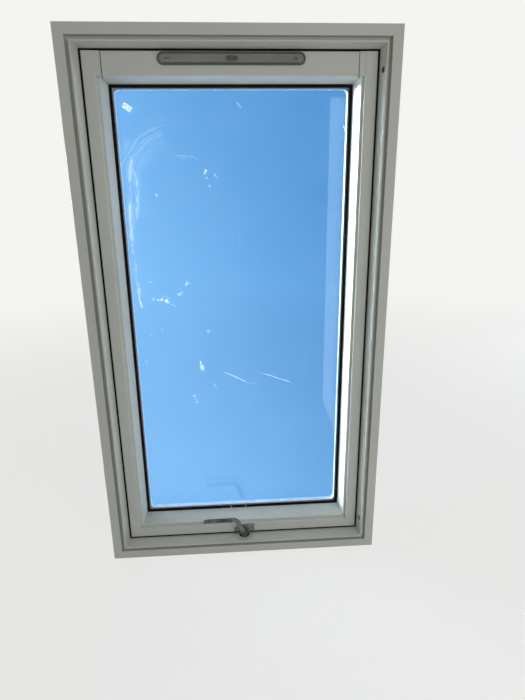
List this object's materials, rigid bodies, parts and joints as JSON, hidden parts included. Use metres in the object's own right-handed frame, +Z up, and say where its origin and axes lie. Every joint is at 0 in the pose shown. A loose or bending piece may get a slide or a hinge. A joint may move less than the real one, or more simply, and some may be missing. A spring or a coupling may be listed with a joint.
{
  "type": "roof window",
  "caption": "Centre-pivot roof window with its frame: white hollow profiles, deep-set double glazing, long ventilator in the top rail, lever handle and cleaning bolt.",
  "frame": {"origin": "on the floor under the middle of the part's box, at the level of the sill's underside", "axes": "+Z up the window from sill to head, +X to the right as seen from the room, +Y out of the room"},
  "size_m": [0.832, 0.141, 1.4],
  "materials": {
    "profile_white": "smooth satin, extruded",
    "zinc_steel": "zinc plated",
    "seal_black": "matt",
    "glass_clear": "clear float",
    "spacer_metal": "bright mill",
    "block_plastic": "moulded",
    "cover_metal": "matt coated sheet",
    "handle_metal": "satin",
    "vent_plastic": "fine moulded",
    "vent_foam": "open foam",
    "bush_plastic": "moulded",
    "keeper_plastic": "moulded"
  },
  "bodies": {
    "frame": {"bracket_screws": "zinc_steel", "cover_left_lower": "cover_metal", "cover_left_upper": "cover_metal", "cover_right_lower": "cover_metal", "cover_right_upper": "cover_metal", "cover_sill": "cover_metal", "fixing_brackets": "zinc_steel", "frame_head": "profile_white", "frame_jamb_left": "profile_white", "frame_jamb_right": "profile_white", "frame_seal": "seal_black", "frame_sill": "profile_white", "frame_steel_head": "zinc_steel", "frame_steel_left": "zinc_steel", "frame_steel_right": "zinc_steel", "frame_steel_sill": "zinc_steel", "hinge_bushes": "bush_plastic", "hinge_housing_left": "zinc_steel", "hinge_housing_right": "zinc_steel", "hinge_screws_frame": "zinc_steel", "hood": "cover_metal", "keeper": "keeper_plastic", "keeper_pad": "seal_black", "keeper_screws": "zinc_steel"},
    "sash": {"bolt_guide": "zinc_steel", "edge_seal": "seal_black", "glass_inner": "glass_clear", "glass_outer": "glass_clear", "glazing_gasket_inner": "seal_black", "glazing_gasket_outer": "seal_black", "handle_plate": "handle_metal", "handle_screws": "zinc_steel", "hinge_arm_left": "zinc_steel", "hinge_arm_right": "zinc_steel", "hinge_screws_sash": "zinc_steel", "latch_case": "zinc_steel", "sash_bottom_rail": "profile_white", "sash_cover_bottom": "cover_metal", "sash_cover_left": "cover_metal", "sash_cover_right": "cover_metal", "sash_cover_top": "cover_metal", "sash_steel_bottom": "zinc_steel", "sash_steel_left": "zinc_steel", "sash_steel_right": "zinc_steel", "sash_steel_top": "zinc_steel", "sash_stile_left": "profile_white", "sash_stile_right": "profile_white", "sash_top_rail": "profile_white", "setting_blocks": "block_plastic", "spacer_bar": "spacer_metal", "vent_bezel": "vent_plastic", "vent_duct": "vent_plastic", "vent_filter": "vent_foam", "vent_grille": "vent_plastic", "vent_panel": "vent_plastic"},
    "handle": {"handle_lever": "handle_metal", "handle_spindle": "zinc_steel", "latch_cam": "zinc_steel"},
    "bolt": {"cleaning_bolt": "zinc_steel"},
    "shutter": {"vent_shutter": "vent_plastic"}
  },
  "joints": [
    {"name": "sash_pivot", "type": "hinge", "parent": "frame", "child": "sash", "pos_m": [0, 0.012, 0.7], "axis": [1, 0, 0], "range_deg": [0, 171.72]},
    {"name": "handle_turn", "type": "hinge", "parent": "sash", "child": "handle", "pos_m": [0, -0.0345, 0.063], "axis": [0, 1, 0], "range_deg": [0, 90]},
    {"name": "cleaning_bolt", "type": "slide", "parent": "sash", "child": "bolt", "axis": [1, 0, 0], "range_m": [0, 0.012]},
    {"name": "vent_shutter", "type": "slide", "parent": "sash", "child": "shutter", "axis": [1, 0, 0], "range_m": [0, 0.007]}
  ]
}
